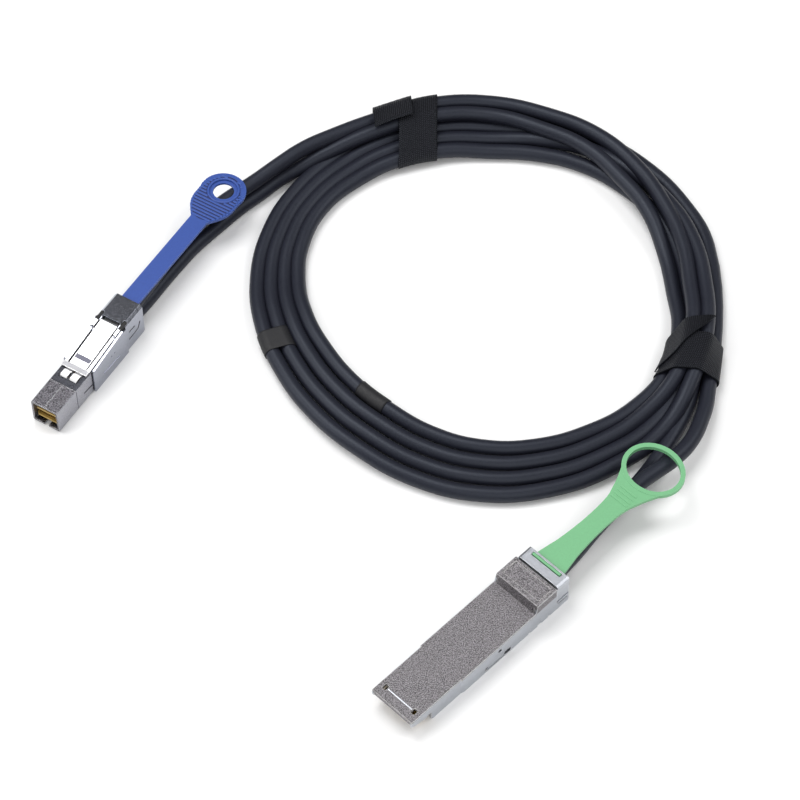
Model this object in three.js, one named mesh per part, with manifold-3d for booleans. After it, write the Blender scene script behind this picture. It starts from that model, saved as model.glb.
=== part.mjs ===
import * as THREE from 'three';
import { mergeVertices } from 'three/addons/utils/BufferGeometryUtils.js';
import Module from 'manifold-3d';

const wasm = await Module();
wasm.setup();

// Where each plug lies: the middle of its nose on the floor, and its heading in degrees.
const QSFP_AT = [12.78, -105.06];
const QSFP_YAW = 45.6;
const SAS_AT = [-104.72, 8.64];
const SAS_YAW = 59.07;

// Play between fixed neighbours and round things that run.
const GAP = 0.3;
const RUN = 0.08;
const TRAVEL = 2.5;

// The round cable: two of them run side by side from plug to plug.
const CABLE_D = 5.5;
const CABLE_R = CABLE_D / 2;

// Wide plug, in its own frame: x from the nose to the rear, y to the left, z up.
const Q_HALF = 9.175;
const Q_NOSE_HALF = Q_HALF - 0.4;
const Q_NOSE_WALL = 0.8;
const Q_TOP = 8.5;
const Q_PLATE = 1.2;
const Q_RIM = 0.675;
const Q_CAVITY = Q_HALF - 0.875;
const Q_FLOOR = 1.2;
const Q_SKIRT_X = 9.0;
const Q_STEP_X = 22.2;
const Q_HEAD_FOOT = 56.4;
const Q_HEAD_X = Q_HEAD_FOOT + 0.9;
const Q_HEAD_BACK = Q_HEAD_FOOT + 10.3;
const Q_HEAD_TOP = Q_TOP + 3.75;
const Q_REAR = Q_HEAD_BACK + 5.7;
const Q_REAR_TOP = 9.6;
const Q_REAR_HALF = Q_HALF - 1.975;
const Q_BLOCK_X = Q_HEAD_BACK - 0.7;
const Q_CARD_Z = 3.9;
const Q_CARD_T = 1.0;
const Q_ARM_Z = [4.3, 6.6];
const Q_ARM_Y = [Q_REAR_HALF + GAP, Q_CAVITY - GAP];
const Q_COLLAR = { x: [Q_HEAD_BACK + 0.4, Q_REAR + 0.2], wall: 0.55, half: Q_HALF - 0.325, roof: 0.9 };
const Q_SLOT = { x: [Q_REAR - 2.0, Q_REAR - 0.5], half: Q_HALF - 2.875 };
const Q_TIP = { x: [33.6, 42.2], z: [0.9, 2.3] };
const Q_LUG = { x: [58, 59.2], near: Q_REAR_HALF - 2.0 };
const Q_SPRING = { y: Q_REAR_HALF - 1.5, z: 5.3, radius: 1.1, wire: 0.4, turns: 5 };
const Q_LEADS = { upper: [-2.5, 6.2], lower: [2.5, 3.4] };
const Q_SCREW = { x: 53.2, y: Q_REAR_HALF - 2.2 };
const Q_STRAP = { z: 10.45, thick: 1.2, slope: 0.035, from: 73 };
const Q_RING = { x: 123, a: 9.8, b: 11.2, tube: 1.6, thick: 1.5 };

// Tall plug, in its own frame.
const S_NOSE_HALF = 5.4;
const S_NOSE_Z = [0.33, 10.5];
const S_NOSE_WALL = 0.7;
const S_NOSE_END = 20.0;
const S_HALF = 6.12;
const S_BODY_X = [20.3, 40.3];
const S_BODY_TOP = [11.0, 13.9];
const S_REAR_X = [40.6, 50.9];
const S_REAR_HALF = 5.6;
const S_REAR_TOP = 14.28;
const S_CHANNEL = 3.6;
const S_RECESS = 5.4;
const S_HOOK_Y = [0.55, 3.3];
const S_PIN = { x: 35.1, z: 11.4, radius: 0.5 };
const S_SPRING = { x: 29, z: [8.45, 11.0], radius: 1.1, wire: 0.4, turns: 3 };
const S_CARDS = { lower: 2.8, upper: 6.4, thick: 0.8, half: 4.4 };
const S_LEADS = { upper: [0, 8.9], lower: [0, 3.4] };
const S_STRAP = { z: 12.5, thick: 1.15, slope: -0.016, from: 51, half: 3.35 };
const S_HEAD = { x: 109.8, radius: 8.4, hole: 3.8, rim: 5.3 };

// The coil: radii of the innermost and outermost strand and the top of the bundle,
// every thirty degrees from the right, anticlockwise.
const COIL_AT = [45.02, 67.88];
const COIL_INNER = [65.4, 65.3, 63.2, 62.1, 65.0, 68.1, 65.9, 63.0, 64.6, 69.6, 71.6, 72.4];
const COIL_OUTER = [81.3, 80.4, 79.6, 79.2, 79.4, 80.3, 80.25, 80.2, 83.5, 88.5, 87.4, 84.6];
const COIL_TOP = [10.8, 10.8, 10.5, 10.3, 10.3, 8.2, 8.2, 6.6, 5.9, 5.7, 5.7, 10.6];
const COIL_STEPS = 60;
const TIES = {
  tie_top: { angle: 109, width: 14, thick: 0.9 },
  tie_right: { angle: -23, width: 15, thick: 0.9 },
  band_left: { angle: -161, width: 8, thick: 0.6 },
  band_inner: { angle: -129, width: 8, thick: 0.6 },
};
const TIE_LIFT = 1.25;

// The four free stretches of cable, in the frame of the plug each one leaves.
const LEADS = {
  sas_lead_lower: [
    [51.2, 0, 3.4], [60.5, -0.1, 2.9], [70, 0, 2.8], [80, -0.2, 2.8], [88, -0.6, 2.8], [96.3, -1.8, 2.8],
    [104, -3.2, 2.8], [112, -4.7, 2.8], [121.8, -7.4, 2.8], [131, -10.0, 2.9], [139, -13.6, 3.1],
    [147, -19.0, 3.5], [152, -23.6, 4.2],
  ],
  sas_lead_upper: [
    [51.2, 0, 8.9], [60.5, 0.3, 8.65], [70, 1.0, 8.3], [80, 1.6, 8.0], [90, 1.7, 7.9], [100, 0.8, 7.9],
    [109, -1.1, 7.85], [117, -3.6, 7.85], [124, -5.9, 8.05], [131.3, -8.5, 8.7], [143.7, -13.2, 9.3],
    [152, -17.2, 9.4], [158, -20.6, 9.2],
  ],
  qsfp_lead_upper: [
    [72.7, -2.5, 6.2], [79, -2.2, 6.6], [86, -1.4, 7.0], [94, -0.4, 7.35], [101, 0.3, 7.6], [108, 0.8, 7.9],
    [118.6, 1.2, 8.0], [126, 0.9, 7.9], [133.4, 0.6, 7.6], [141, 1.6, 7.1], [149, 4.4, 6.5],
    [155, 8.0, 6.2], [161, 13.0, 6.0],
  ],
  qsfp_lead_lower: [
    [72.7, 2.5, 3.4], [79, 2.7, 3.1], [87, 3.0, 2.9], [95, 3.3, 2.8], [103, 3.5, 2.8], [111, 3.7, 2.8],
    [119.9, 4.1, 2.8], [128, 5.1, 2.8], [135.4, 6.9, 2.9], [143, 10.4, 3.2], [150, 15.6, 3.8],
    [155, 21.0, 4.6],
  ],
};

// Solids: joining and cutting.
function solid(geometry) {
  const bare = geometry.clone();
  bare.deleteAttribute('normal');
  bare.deleteAttribute('uv');
  const merged = mergeVertices(bare, 1e-4);
  return new wasm.Manifold(new wasm.Mesh({
    numProp: 3,
    vertProperties: new Float32Array(merged.attributes.position.array),
    triVerts: new Uint32Array(merged.index.array),
  }));
}

function geometryOf(body) {
  const mesh = body.getMesh();
  const geometry = new THREE.BufferGeometry();
  geometry.setAttribute('position', new THREE.BufferAttribute(new Float32Array(mesh.vertProperties), 3));
  geometry.setIndex(new THREE.BufferAttribute(new Uint32Array(mesh.triVerts), 1));
  geometry.computeVertexNormals();
  return geometry;
}

const join = (...bodies) => bodies.reduce((all, body) => all.add(body));
const cut = (body, ...tools) => tools.reduce((left, tool) => left.subtract(tool), body);

// Outlines.
function outline(points) {
  return new THREE.Shape(points.map(([u, v]) => new THREE.Vector2(u, v)));
}

function rounded(u0, v0, u1, v1, r) {
  const s = new THREE.Shape();
  s.moveTo(u0 + r, v0);
  s.lineTo(u1 - r, v0);
  s.quadraticCurveTo(u1, v0, u1, v0 + r);
  s.lineTo(u1, v1 - r);
  s.quadraticCurveTo(u1, v1, u1 - r, v1);
  s.lineTo(u0 + r, v1);
  s.quadraticCurveTo(u0, v1, u0, v1 - r);
  s.lineTo(u0, v0 + r);
  s.quadraticCurveTo(u0, v0, u0 + r, v0);
  return s;
}

function oval(u, v, a, b, count) {
  const points = [];
  for (let i = 0; i < count; i += 1) {
    const t = (2 * Math.PI * i) / count;
    points.push([u + a * Math.cos(t), v + b * Math.sin(t)]);
  }
  return outline(points);
}

// A flat outline drawn out along one axis of the plug; along x it is drawn in (y, z), along y in (x, z).
const AXES = {
  x: [new THREE.Vector3(0, 1, 0), new THREE.Vector3(0, 0, 1), new THREE.Vector3(1, 0, 0)],
  y: [new THREE.Vector3(1, 0, 0), new THREE.Vector3(0, 0, 1), new THREE.Vector3(0, -1, 0)],
  z: [new THREE.Vector3(1, 0, 0), new THREE.Vector3(0, 1, 0), new THREE.Vector3(0, 0, 1)],
};

function slab(shape, axis, from, to) {
  const geometry = new THREE.ExtrudeGeometry(shape, { depth: to - from, bevelEnabled: false, curveSegments: 3 });
  geometry.applyMatrix4(new THREE.Matrix4().makeBasis(...AXES[axis]));
  const start = AXES[axis][2].clone().multiplyScalar(axis === 'y' ? -to : from);
  geometry.translate(start.x, start.y, start.z);
  return solid(geometry);
}

const block = (x0, x1, y0, y1, z0, z1) => slab(outline([[x0, y0], [x1, y0], [x1, y1], [x0, y1]]), 'z', z0, z1);
const across = (x0, x1, half, z0, z1) => block(x0, x1, -half, half, z0, z1);
const rod = (axis, u, v, radius, from, to, count = 16) => slab(oval(u, v, radius, radius, count), axis, from, to);
const mirrored = (make) => join(make(1), make(-1));
const side = (sign, near, far) => (sign > 0 ? [near, far] : [-far, -near]);
const sideBlock = (sign, x0, x1, near, far, z0, z1) => block(x0, x1, ...side(sign, near, far), z0, z1);

// A flat piece tilted along its length, its ends staying upright.
function sheared(body, slope, from) {
  const geometry = geometryOf(body);
  const m = new THREE.Matrix4().set(1, 0, 0, 0, 0, 1, 0, 0, slope, 0, 1, -slope * from, 0, 0, 0, 1);
  geometry.applyMatrix4(m);
  return solid(geometry);
}

class Helix extends THREE.Curve {
  constructor(radius, length, turns) {
    super();
    Object.assign(this, { radius, length, turns });
  }

  getPoint(t) {
    const a = 2 * Math.PI * this.turns * t;
    return new THREE.Vector3(this.radius * Math.cos(a), this.radius * Math.sin(a), this.length * t);
  }
}

function spring(radius, wire, length, turns) {
  const path = new Helix(radius, length - wire, turns);
  const geometry = new THREE.ExtrudeGeometry(oval(0, 0, wire / 2, wire / 2, 5), {
    steps: turns * 10,
    extrudePath: path,
    bevelEnabled: false,
  });
  geometry.translate(0, 0, wire / 2);
  return geometry;
}

// Finishes.
const FINISH = {
  cast: ['#8b8a86', 0.62, 0.75],
  rim: ['#b9c0c9', 0.4, 0.85],
  steel: ['#c9cdd2', 0.25, 1.0],
  mirror: ['#8f9397', 0.18, 1.0],
  nose: ['#5b5c5e', 0.55, 0.8],
  laminate: ['#2f5b3c', 0.5, 0.0],
  wire: ['#b8bcc0', 0.3, 1.0],
  green: ['#80c492', 0.5, 0.0],
  blue: ['#4461b2', 0.5, 0.0],
  jacket: ['#2d2f3a', 0.7, 0.0],
  cloth: ['#1e1f24', 0.95, 0.0],
  ferrule: ['#3a3c42', 0.6, 0.2],
  resin: ['#26272a', 0.7, 0.0],
};

function piece(name, body, finish) {
  const [color, roughness, metalness] = FINISH[finish];
  const geometry = body.isBufferGeometry ? body : geometryOf(body);
  const mesh = new THREE.Mesh(geometry, new THREE.MeshStandardMaterial({ color, roughness, metalness }));
  mesh.name = name;
  return mesh;
}

// What the narrower nose leaves away beside it, for a piece that is inset by a margin.
function besideNose(sign, inset) {
  const far = Q_HALF + 1;
  return slab(outline([
    [-1, sign * (Q_NOSE_HALF - inset)], [Q_STEP_X, sign * (Q_NOSE_HALF - inset)],
    [Q_STEP_X + 1.6, sign * (Q_HALF - inset)], [Q_STEP_X + 1.6, sign * far], [-1, sign * far],
  ]), 'z', -1, 20);
}

// Wide plug: lower shell with its side walls, nose sides and rear block.
function qsfpBaseShell() {
  const profile = outline([
    [0, 7.6], [0, 6.2], [1.2, 5.3], [5.7, 4.1], [7, 4.1], [7, 4.6], [Q_SKIRT_X, 4.6], [Q_SKIRT_X, 0.6], [9.6, 0],
    [Q_REAR - 0.5, 0], [Q_REAR, 0.5], [Q_REAR, Q_REAR_TOP], [Q_HEAD_BACK, Q_REAR_TOP],
    [Q_HEAD_BACK, Q_HEAD_TOP - 0.4], [Q_HEAD_BACK - 0.4, Q_HEAD_TOP], [Q_HEAD_X, Q_HEAD_TOP],
    [Q_HEAD_FOOT, Q_TOP], [0.9, Q_TOP],
  ]);
  const whole = slab(profile, 'y', -Q_HALF, Q_HALF);
  const seat = Q_TOP - Q_PLATE - GAP;
  const out = Q_HALF + 1;
  const skin = Q_HALF - 0.3;
  const hollow = [
    across(-1, Q_SKIRT_X + 0.5, Q_NOSE_HALF - Q_NOSE_WALL, -1, 20),
    across(Q_SKIRT_X, Q_STEP_X, Q_NOSE_HALF - Q_NOSE_WALL, Q_FLOOR, 20),
    across(Q_STEP_X - 1, Q_BLOCK_X, Q_CAVITY, Q_FLOOR, 20),
    cut(across(-1, Q_HEAD_BACK + 0.01, Q_HALF - Q_RIM, seat, 20), besideNose(1, Q_RIM), besideNose(-1, Q_RIM)),
  ];
  const flank = (sign) => join(
    sideBlock(sign, Q_TIP.x[0] - GAP, Q_TIP.x[1] + TRAVEL + GAP, Q_ARM_Y[0] - GAP, out, Q_TIP.z[0] - GAP,
      Q_TIP.z[1] + GAP),
    sideBlock(sign, 39.2, 40.6, Q_CAVITY - 1, out, 5.2, 6.6),
    sideBlock(sign, Q_BLOCK_X - 1, Q_HEAD_BACK, Q_REAR_HALF, Q_CAVITY, Q_ARM_Z[0] - GAP, Q_ARM_Z[1] + GAP),
    sideBlock(sign, Q_HEAD_BACK, Q_REAR + 1, Q_REAR_HALF, out, Q_ARM_Z[0] - GAP, 20),
    sideBlock(sign, 67.2, 71.6, skin - 0.2, out, 2.7, 3.3),
    ...[[53.4, 54.4], [57.7, 59.7], [62.6, 63.6]].map(([x0, x1]) => sideBlock(sign, x0, x1, skin, out, -1, 1.8)),
  );
  const bores = Object.values(Q_LEADS).map(([y, z]) => rod('x', y, z, CABLE_R + 0.25, Q_BLOCK_X - 1, Q_REAR + 1));
  const screws = [1, -1].flatMap((sign) => [
    rod('z', Q_SCREW.x, sign * Q_SCREW.y, 0.85, -1, 3),
    rod('z', Q_SCREW.x, sign * Q_SCREW.y, 1.6, -1, 0.7),
  ]);
  return cut(whole, ...hollow, besideNose(1, 0), besideNose(-1, 0), flank(1), flank(-1), ...bores, ...screws);
}

// Upper shell: the long plate with its front lip, the raised head with its recess, and the screw bosses.
function qsfpCoverShell() {
  const inset = Q_RIM + GAP;
  const half = Q_HALF - inset;
  const under = Q_TOP - Q_PLATE;
  const profile = outline([
    [0.1, under - 0.7], [2.1, under - 0.7], [2.5, under], [Q_HEAD_BACK - 0.3, under],
    [Q_HEAD_BACK - 0.3, Q_HEAD_TOP - 0.5], [Q_HEAD_BACK - 0.8, Q_HEAD_TOP], [Q_HEAD_X + 0.2, Q_HEAD_TOP],
    [Q_HEAD_X - 0.15, Q_HEAD_TOP - 0.5], [Q_HEAD_FOOT - 0.1, Q_TOP], [0.5, Q_TOP], [0.1, Q_TOP - 0.4],
  ]);
  const holeY = Q_NOSE_HALF - 2.4;
  const hole = (sign) => slab(rounded(2.7, sign * holeY - 0.75, 4.9, sign * holeY + 0.75, 0.3), 'z', 6, 9);
  const groove = across(3.6, 4.1, holeY - 0.8, Q_TOP - 0.3, 9);
  const recess = slab(rounded(Q_HEAD_X + 1.8, 1.5 - Q_HALF, Q_HEAD_BACK - 1.6, Q_HALF - 1.5, 0.5), 'z',
    Q_HEAD_TOP - 0.4, 13);
  const hollow = across(Q_HEAD_X + 1.3, Q_HEAD_BACK - 1.3, Q_HALF - 2.4, 7, Q_HEAD_TOP - 1.3);
  const boss = (sign) => cut(
    rod('z', Q_SCREW.x, sign * Q_SCREW.y, 1.6, Q_FLOOR + GAP, under + 0.2),
    rod('z', Q_SCREW.x, sign * Q_SCREW.y, 0.85, 0, 4.6),
  );
  const plate = cut(slab(profile, 'y', -half, half), besideNose(1, inset), besideNose(-1, inset), hole(1), hole(-1),
    groove, recess, hollow);
  return join(plate, boss(1), boss(-1));
}

function qsfpPaddleCard() {
  const wide = Q_NOSE_HALF - Q_NOSE_WALL - GAP;
  const narrow = Q_ARM_Y[0] - 0.7;
  const half = [[3.6, wide - 0.35], [4.0, wide], [8.2, wide], [8.2, narrow], [46, narrow]];
  const card = outline([...half.map(([x, y]) => [x, -y]), ...half.reverse()]);
  return slab(card, 'z', Q_CARD_Z, Q_CARD_Z + Q_CARD_T);
}

// Release slider: a collar over the rear, two long arms, their tips and the lugs that press the springs.
function qsfpLatchSlider() {
  const { x, wall, half, roof } = Q_COLLAR;
  const inner = half - wall;
  const under = Q_HEAD_TOP - roof;
  const right = [[inner, Q_ARM_Z[0]], [half, Q_ARM_Z[0]], [half, Q_HEAD_TOP - 1.0], [half - 0.3, Q_HEAD_TOP - 0.3],
    [half - 1.0, Q_HEAD_TOP]];
  const under2 = [[inner - 0.4, under], [inner, under - 0.4]];
  const arch = outline([
    ...right, ...right.map(([y, z]) => [-y, z]).reverse(),
    ...under2.map(([y, z]) => [-y, z]).reverse(), ...under2,
  ]);
  const collar = cut(slab(arch, 'x', ...x), across(...Q_SLOT.x, Q_SLOT.half, under - 0.5, Q_HEAD_TOP + 1));
  const [t0, t1] = Q_TIP.x;
  const armSide = outline([
    [t0, Q_TIP.z[0] + 0.5], [t0 + 0.5, 1.6], [t1, 1.6], [t1 + 2.2, Q_ARM_Z[0]], [x[0] + 1.4, Q_ARM_Z[0]],
    [x[0] + 1.4, Q_ARM_Z[1]], [t1 - 2.5, Q_ARM_Z[1]], [t0 + 2.2, 3.2], [t0, Q_TIP.z[1]],
  ]);
  const arm = (sign) => join(
    slab(armSide, 'y', ...side(sign, ...Q_ARM_Y)),
    slab(outline([[t0, Q_TIP.z[0]], [t1, Q_TIP.z[0]], [t1, Q_TIP.z[1]], [t0 + 1.5, Q_TIP.z[1]]]), 'y',
      ...side(sign, Q_ARM_Y[0] + 0.1, Q_HALF - 0.1)),
    sideBlock(sign, x[0], x[0] + 1.4, Q_ARM_Y[0], half - 0.1, Q_ARM_Z[0] + 0.1, Q_ARM_Z[1]),
    sideBlock(sign, ...Q_LUG.x, Q_LUG.near, Q_ARM_Y[0] + 0.1, Q_ARM_Z[0] + 0.1, Q_ARM_Z[1] - 0.2),
  );
  return join(collar, arm(1), arm(-1));
}

function qsfpSpring(sign) {
  const start = Q_LUG.x[1] + TRAVEL + GAP;
  const geometry = spring(Q_SPRING.radius, Q_SPRING.wire, Q_BLOCK_X - GAP - start, Q_SPRING.turns);
  geometry.applyMatrix4(new THREE.Matrix4().makeBasis(...AXES.x));
  geometry.translate(start, sign * Q_SPRING.y, Q_SPRING.z);
  return geometry;
}

// Pull tab of the wide plug: cross bar, tapering strap with fine ribs, and the finger ring.
function qsfpPullTab() {
  const low = Q_STRAP.z - Q_STRAP.thick / 2;
  const high = Q_STRAP.z + Q_STRAP.thick / 2;
  const edge = new THREE.SplineCurve([
    [73.5, 5.8], [78, 5.0], [82, 4.3], [91, 3.55], [99, 3.5], [105, 4.0], [108.5, 5.1], [112, 6.3], [117, 8.6],
  ].map(([x, y]) => new THREE.Vector2(x, y))).getPoints(18).map((p) => [p.x, p.y]);
  const half = [[Q_SLOT.x[0] + GAP, 5.8], ...edge];
  const strap = slab(outline([...half.map(([x, y]) => [x, -y]), ...half.reverse()]), 'z', low, high);
  const ring = slab(oval(Q_RING.x, 0, Q_RING.a, Q_RING.b, 40), 'z', Q_STRAP.z - Q_RING.thick / 2,
    Q_STRAP.z + Q_RING.thick / 2);
  const hole = slab(oval(Q_RING.x, 0, Q_RING.a - Q_RING.tube, Q_RING.b - Q_RING.tube, 40), 'z', 0, 20);
  const ribs = [105.6, 107.2, 108.8, 110.4].map((x) => across(x, x + 0.6, 3.4, high - 0.1, high + 0.2));
  const bar = across(Q_SLOT.x[0] + GAP, Q_SLOT.x[1] - GAP, Q_SLOT.half - GAP, low, Q_HEAD_TOP + 0.25);
  return join(sheared(cut(join(strap, ring, ...ribs), hole), Q_STRAP.slope, Q_STRAP.from), bar);
}

function ferrule(from, to, [y, z]) {
  const r = CABLE_R;
  const body = new THREE.LatheGeometry([
    [0, 0], [r - 0.4, 0], [r, 0.4], [r, to - from], [0, to - from],
  ].map(([a, b]) => new THREE.Vector2(a, b)), 16);
  body.rotateZ(-Math.PI / 2);
  body.translate(from, y, z);
  return solid(body);
}

function qsfpScrew(sign) {
  const profile = [[0, 0.3], [0.5, 0.1], [1.3, 0.1], [1.3, 0.45], [0.55, 0.6], [0.55, 4.2], [0, 4.3]];
  const screw = new THREE.LatheGeometry(profile.map(([a, b]) => new THREE.Vector2(a, b)), 12);
  screw.rotateX(Math.PI / 2);
  screw.translate(Q_SCREW.x, sign * Q_SCREW.y, 0);
  return solid(screw);
}

// Tall plug: the nose, a thin walled tube with latch windows, seams and a keyed mouth.
function sasNoseShell() {
  const [low, high] = S_NOSE_Z;
  const w = S_NOSE_WALL;
  const tube = slab(rounded(-S_NOSE_HALF, low, S_NOSE_HALF, high, 0.5), 'x', 0, S_NOSE_END);
  const inside = slab(rounded(w - S_NOSE_HALF, low + w, S_NOSE_HALF - w, high - w, 0.3), 'x', -1, 22);
  const window = (sign) => sideBlock(sign, 13.7, 22, 0.25, S_CHANNEL, high - 2, 12);
  const seam = cut(across(11.0, 11.25, 7, 0, 12), across(10, 12, S_NOSE_HALF - 0.2, low + 0.2, high - 0.2));
  const line = across(0.6, 10.6, 0.12, high - 0.2, 12);
  const slit = (sign) => slab(outline([[15, 5.2], [15, 4.6], [22, 3.7], [22, 4.3]]), 'y',
    ...side(sign, S_NOSE_HALF - 0.3, 7));
  const key = across(-1, 2.6, 0.85, -1, 2);
  const ear = (sign) => sideBlock(sign, S_NOSE_END - 2, 24, 4.75, 5.1, 2, 7);
  return join(
    cut(tube, inside, window(1), window(-1), across(17.5, 22, S_CHANNEL, high - 2, 12), seam, line,
      slit(1), slit(-1), key),
    ear(1), ear(-1),
  );
}

// Body behind the nose: a wedge on top, the trough of the latch and the card bay below it.
function sasBodyBase() {
  const [x0, x1] = S_BODY_X;
  const whole = slab(outline([
    [x0, 0.4], [x0 + 0.4, 0], [x1, 0], [x1, S_BODY_TOP[1]], [x0 + 0.5, S_BODY_TOP[0]], [x0, S_BODY_TOP[0] - 0.4],
  ]), 'y', -S_HALF, S_HALF);
  const bay = across(x0 - 1, x1 + 1, 5.4, 0.9, 7.7);
  const trough = slab(outline([[19, 8.35], [24, 8.35], [33, 10.0], [41, 10.0], [41, 16], [19, 16]]), 'y',
    -S_CHANNEL, S_CHANNEL);
  const ledge = slab(outline([[19, 10.32], [38.7, 12.95], [38.7, 16], [19, 16]]), 'y', -S_RECESS, S_RECESS);
  const corner = (sign) => sideBlock(sign, 38.5, 42, 3.9, 7, 12.9, 16);
  const pocket = rod('z', S_SPRING.x, 0, 1.6, 8.2, 12);
  const bore = rod('y', S_PIN.x, S_PIN.z, S_PIN.radius + 0.25, -5.3, 5.3);
  const emboss = (sign) => join(
    slab(outline([[26, 4.5], [26, 3.9], [35.5, 3.2], [35.5, 3.8]]), 'y', ...side(sign, S_HALF - 0.2, S_HALF + 0.15)),
    rod('y', 31.0, 8.0, 0.3, ...side(sign, S_HALF - 0.2, S_HALF + 0.12), 8),
    rod('y', 32.8, 8.1, 0.3, ...side(sign, S_HALF - 0.2, S_HALF + 0.12), 8),
  );
  const tongue = (sign) => sideBlock(sign, x1 - 1, 44, 5.4 - 1.1, 5.4 - 0.9 + 0.0, 1.3, 7.4);
  const root = (sign) => sideBlock(sign, x1 - 1, x1, 4.3, 5.5, 1.3, 7.4);
  return join(
    cut(whole, bay, trough, ledge, corner(1), corner(-1), pocket, bore),
    emboss(1), emboss(-1), tongue(1), tongue(-1), root(1), root(-1),
  );
}

// Rear shell: chamfered roof, slot for the tab and the double opening for the cables.
function sasRearShell() {
  const [x0, x1] = S_REAR_X;
  const h = S_REAR_HALF;
  const section = outline([
    [0.3 - h, 0], [h - 0.3, 0], [h, 0.3], [h, S_REAR_TOP - 0.95], [h - 1, S_REAR_TOP], [1 - h, S_REAR_TOP],
    [-h, S_REAR_TOP - 0.95], [-h, 0.3],
  ]);
  const hollow = across(x0 - 1, x1 - 1, 4.8, 0.8, 13.5);
  const slot = across(x1 - 2, x1 + 1, S_STRAP.half + GAP, 11.7, 13.8);
  const bores = Object.values(S_LEADS).map(([y, z]) => rod('x', y, z, CABLE_R + 0.25, x1 - 2, x1 + 1));
  const heel = slab(outline([[49.4, -0.1], [52, -0.1], [52, 1.2]]), 'y', -8, 8);
  const corner = (sign) => sideBlock(sign, x0 - 1, 42.3, 3.9, 7, 13.6, 16);
  const slits = (sign) => join(
    sideBlock(sign, 42.3, 45.6, h - 0.3, 7, 8.3, 9.0),
    slab(outline([[42, 4.7], [47.6, 5.1], [49.1, 7.9], [48.4, 8.0], [47.1, 5.7], [42, 5.4]]), 'y',
      ...side(sign, h - 0.3, 7)),
  );
  return cut(slab(section, 'x', x0, x1), hollow, slot, ...bores, heel, corner(1), corner(-1), slits(1), slits(-1));
}

// Latch frame: the lip over the hooks' arms and the two rails beside the leaf.
function sasLatchCover() {
  const lip = across(17.5, 19.8, 5.0, 10.75, 11.5);
  const rail = (sign) => cut(
    slab(outline([[19.6, 10.75], [38.4, 13.3], [38.4, 14.0], [19.6, 11.5]]), 'y', ...side(sign, 3.6, 5.1)),
    rod('z', S_PIN.x, sign * 4.4, 0.5, 10, 16, 12),
  );
  return join(lip, rail(1), rail(-1));
}

// Latch: a rocking leaf on a cross pin, two hooks in front and a wide tail behind.
function sasLatchPlate() {
  const leaf = cut(
    slab(outline([
      [20.1, 10.55], [38.5, 13.1], [39.4, 11.7], [45.5, 11.7], [45.5, 12.3], [40.2, 12.3], [39.6, 13.6],
      [39.0, 13.8], [19.8, 11.2],
    ]), 'y', -3.3, 3.3),
    across(22.7, 23.2, 2.4, 10, 13),
  );
  const hook = (sign) => slab(outline([
    [14.0, 9.85], [20.2, 9.85], [22.6, 10.95], [20.2, 11.2], [19.75, 10.45], [16.8, 10.45], [16.8, 11.0],
    [14.7, 11.0], [14.0, 10.4],
  ]), 'y', ...side(sign, ...S_HOOK_Y));
  const knuckle = cut(
    join(rod('y', S_PIN.x, S_PIN.z, 1.1, -3.2, 3.2, 20), across(34.2, 36.0, 3.2, S_PIN.z, 12.8)),
    rod('y', S_PIN.x, S_PIN.z, S_PIN.radius + RUN, -4, 4, 32),
  );
  const wing = (sign) => join(
    sideBlock(sign, 41.2, 45.5, 3.1, 4.3, 11.7, 12.3),
    sideBlock(sign, 44.9, 45.5, 3.1, 4.3, 10.7, 12.3),
  );
  return join(leaf, hook(1), hook(-1), knuckle, wing(1), wing(-1));
}

// Pull tab of the tall plug: lifting ramps inside, flat strap and grooved round head with an eye.
function sasPullTab() {
  const low = S_STRAP.z - S_STRAP.thick / 2;
  const high = S_STRAP.z + S_STRAP.thick / 2;
  const arc = [];
  for (let i = 0; i <= 12; i += 1) {
    const t = THREE.MathUtils.degToRad(105 - (105 * i) / 12);
    arc.push([S_HEAD.x + S_HEAD.radius * Math.cos(t), S_HEAD.radius * Math.sin(t)]);
  }
  const half = [[45.9, 4.3], [47.0, 4.3], [47.0, S_STRAP.half], [94.5, S_STRAP.half], [97, 5.3], [99, 6.7],
    [101, 7.6], [103.5, 8.1], ...arc.slice(0, -1)];
  const whole = [...half.map(([x, y]) => [x, -y]), [S_HEAD.x + S_HEAD.radius, 0], ...half.reverse()];
  const flat = slab(outline(whole), 'z', low, high);
  const eye = rod('z', S_HEAD.x + 0.3, -0.2, S_HEAD.hole, 0, 20, 24);
  const dish = rod('z', S_HEAD.x + 0.3, -0.2, S_HEAD.rim, high - 0.3, 20, 24);
  const grooves = [];
  const rim = rod('z', S_HEAD.x + 0.3, -0.2, S_HEAD.rim + 0.4, 0, 20, 24);
  for (let x = 96; x < S_HEAD.x + 2; x += 1.15) {
    grooves.push(cut(across(x, x + 0.45, 9, high - 0.2, high + 1), rim));
  }
  const ramp = (sign) => slab(outline([
    [42.4, 9.6], [47.0, 9.6], [47.0, 13.0], [45.9, 13.0], [45.9, 10.4], [44.6, 10.4], [42.6, 11.35], [42.4, 11.35],
  ]), 'y', ...side(sign, 3.1, 4.3));
  return join(sheared(cut(flat, eye, dish, ...grooves), S_STRAP.slope, S_STRAP.from), ramp(1), ramp(-1));
}

function sasCard(level) {
  const h = S_CARDS.half;
  return slab(outline([[1.0, 0.5 - h], [1.5, -h], [36, -h], [36, h], [1.5, h], [1.0, h - 0.5]]), 'z',
    level, level + S_CARDS.thick);
}

// The coil of cable as one closed ring whose section follows the lay.
function around(table, degrees) {
  const at = ((((degrees / 30) % 12) + 12) % 12);
  const i = Math.floor(at);
  const t = at - i;
  const [a, b, c, d] = [11, 0, 1, 2].map((k) => table[(i + k) % 12]);
  return 0.5 * (2 * b + (c - a) * t + (2 * a - 5 * b + 4 * c - d) * t * t + (3 * b - a - 3 * c + d) * t * t * t);
}

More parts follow.
